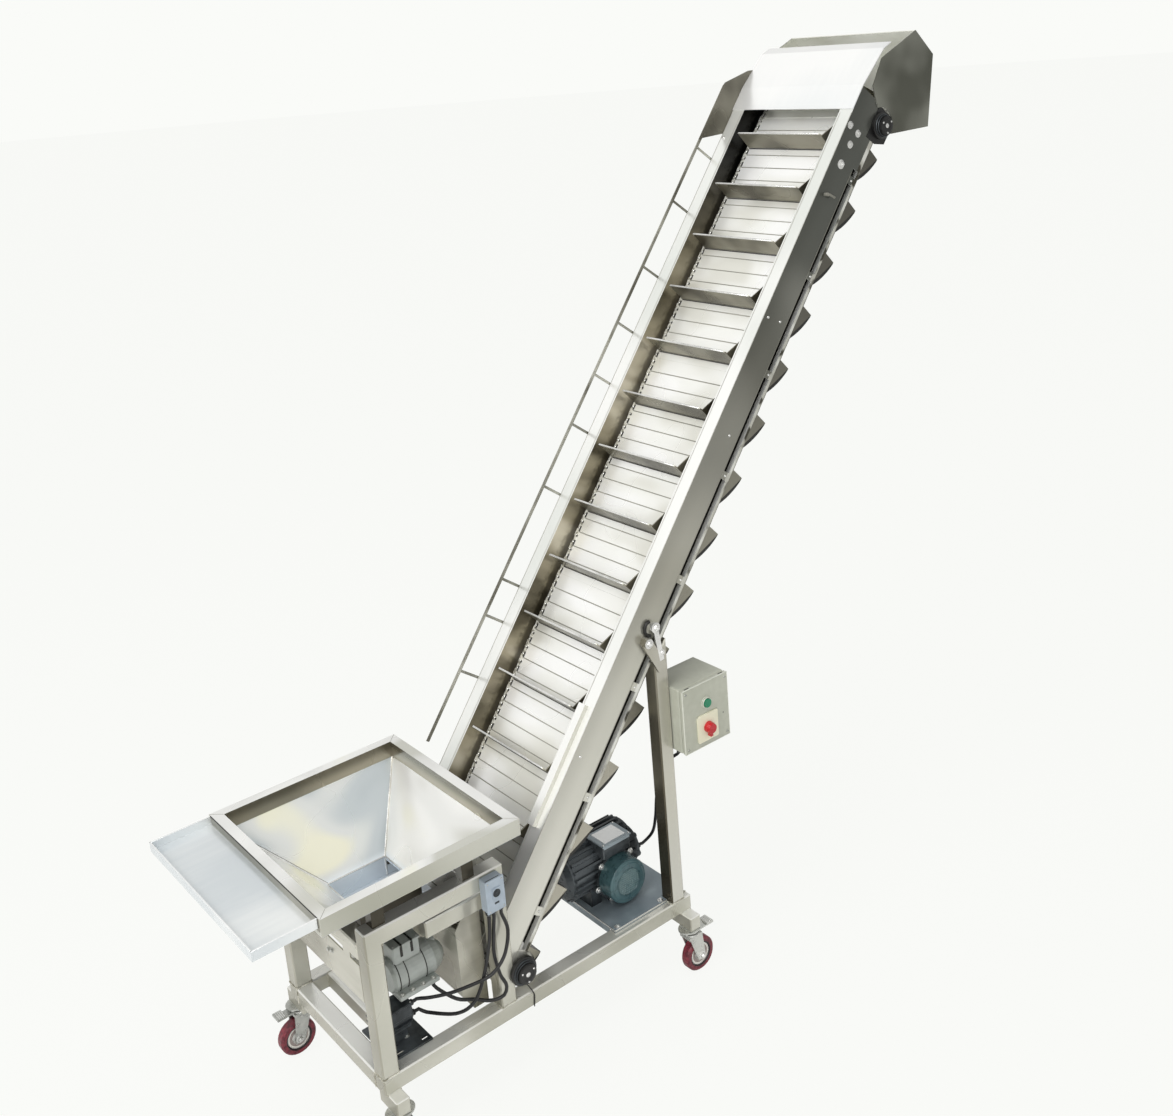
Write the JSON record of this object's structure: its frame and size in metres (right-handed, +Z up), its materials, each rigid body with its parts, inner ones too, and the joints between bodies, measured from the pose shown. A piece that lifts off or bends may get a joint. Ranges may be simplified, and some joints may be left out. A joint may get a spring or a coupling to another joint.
{
  "type": "bucket elevator",
  "caption": "Steep flighted belt elevator on a wheeled tube frame, with a square feed hopper, side tray, drive motor and control box.",
  "frame": {"origin": "on the floor under the middle of the machine's outline", "axes": "+X the way the product travels, towards the discharge; +Y away from the side with the control box; +Z up"},
  "size_m": [2.1502, 0.545, 2.244],
  "materials": {
    "tube": "satin",
    "sheet": "satin",
    "beam": "satin",
    "chain": "satin",
    "shaft": "satin",
    "bearing": "matte",
    "chute": "satin",
    "hopper": "satin",
    "plate": "satin",
    "casting": "satin",
    "teal": "satin",
    "grey": "satin",
    "switch": "satin",
    "box": "satin",
    "green": "gloss",
    "red": "gloss",
    "zinc": "satin",
    "tread": "satin",
    "cable": "satin"
  },
  "bodies": {
    "frame": {"base_frame": "tube", "stand_near": "tube", "stand_far": "tube", "front_panel": "sheet", "leg_near": "tube", "leg_far": "tube", "side_beam_near": "beam", "side_beam_far": "beam", "guard_rail": "tube", "chain_carry_lower": "chain", "chain_carry_middle": "chain", "chain_head": "chain", "chain_return_upper": "chain", "chain_return_lower": "chain", "chain_tail": "chain", "tail_shaft": "shaft", "head_shaft": "shaft", "tail_bearing_near": "bearing", "head_bearing_near": "bearing", "discharge_chute": "chute", "head_hood": "chute", "hopper": "hopper", "side_tray": "hopper", "boot": "sheet", "motor_plate": "plate", "motor": "casting", "fan_cover": "teal", "vibrator": "grey", "low_motor": "casting", "switch_box": "switch", "control_box": "box", "cable_low_motor": "cable", "cable_vibrator": "cable", "cable_feeder": "cable", "cable_motor": "cable"},
    "caster_front_near": {"caster_front_near_fork": "zinc"},
    "wheel_front_near": {"caster_front_near_wheel": "tread"},
    "caster_front_far": {"caster_front_far_fork": "zinc"},
    "wheel_front_far": {"caster_front_far_wheel": "tread"},
    "caster_rear_near": {"caster_rear_near_fork": "zinc"},
    "wheel_rear_near": {"caster_rear_near_wheel": "tread"},
    "caster_rear_far": {"caster_rear_far_fork": "zinc"},
    "wheel_rear_far": {"caster_rear_far_wheel": "tread"},
    "start_button": {"start_button": "green"},
    "rotary_knob": {"rotary_knob": "red"}
  },
  "joints": [
    {"name": "swivel_front_near", "type": "hinge", "parent": "frame", "child": "caster_front_near", "pos_m": [-0.81063, -0.2225, 0.1287], "axis": [0, 0, 1], "continuous": true},
    {"name": "spin_front_near", "type": "hinge", "parent": "caster_front_near", "child": "wheel_front_near", "pos_m": [-0.82863, -0.2225, 0.045], "axis": [0, 1, 0], "continuous": true},
    {"name": "swivel_front_far", "type": "hinge", "parent": "frame", "child": "caster_front_far", "pos_m": [-0.81063, 0.2415, 0.1287], "axis": [0, 0, 1], "continuous": true},
    {"name": "spin_front_far", "type": "hinge", "parent": "caster_front_far", "child": "wheel_front_far", "pos_m": [-0.82863, 0.2415, 0.045], "axis": [0, 1, 0], "continuous": true},
    {"name": "swivel_rear_near", "type": "hinge", "parent": "frame", "child": "caster_rear_near", "pos_m": [0.02587, -0.2225, 0.1287], "axis": [0, 0, 1], "continuous": true},
    {"name": "spin_rear_near", "type": "hinge", "parent": "caster_rear_near", "child": "wheel_rear_near", "pos_m": [0.04387, -0.2225, 0.045], "axis": [0, 1, 0], "continuous": true},
    {"name": "swivel_rear_far", "type": "hinge", "parent": "frame", "child": "caster_rear_far", "pos_m": [0.02587, 0.2415, 0.1287], "axis": [0, 0, 1], "continuous": true},
    {"name": "spin_rear_far", "type": "hinge", "parent": "caster_rear_far", "child": "wheel_rear_far", "pos_m": [0.04387, 0.2415, 0.045], "axis": [0, 1, 0], "continuous": true},
    {"name": "press_start_button", "type": "slide", "parent": "frame", "child": "start_button", "axis": [0, 1, 0], "range_m": [0, 0.004], "stiffness_N_per_m": 400, "springref_m": -0.002},
    {"name": "turn_rotary_knob", "type": "hinge", "parent": "frame", "child": "rotary_knob", "pos_m": [0.09917, -0.2558, 0.663], "axis": [0, -1, 0], "range_deg": [0, 270]}
  ]
}
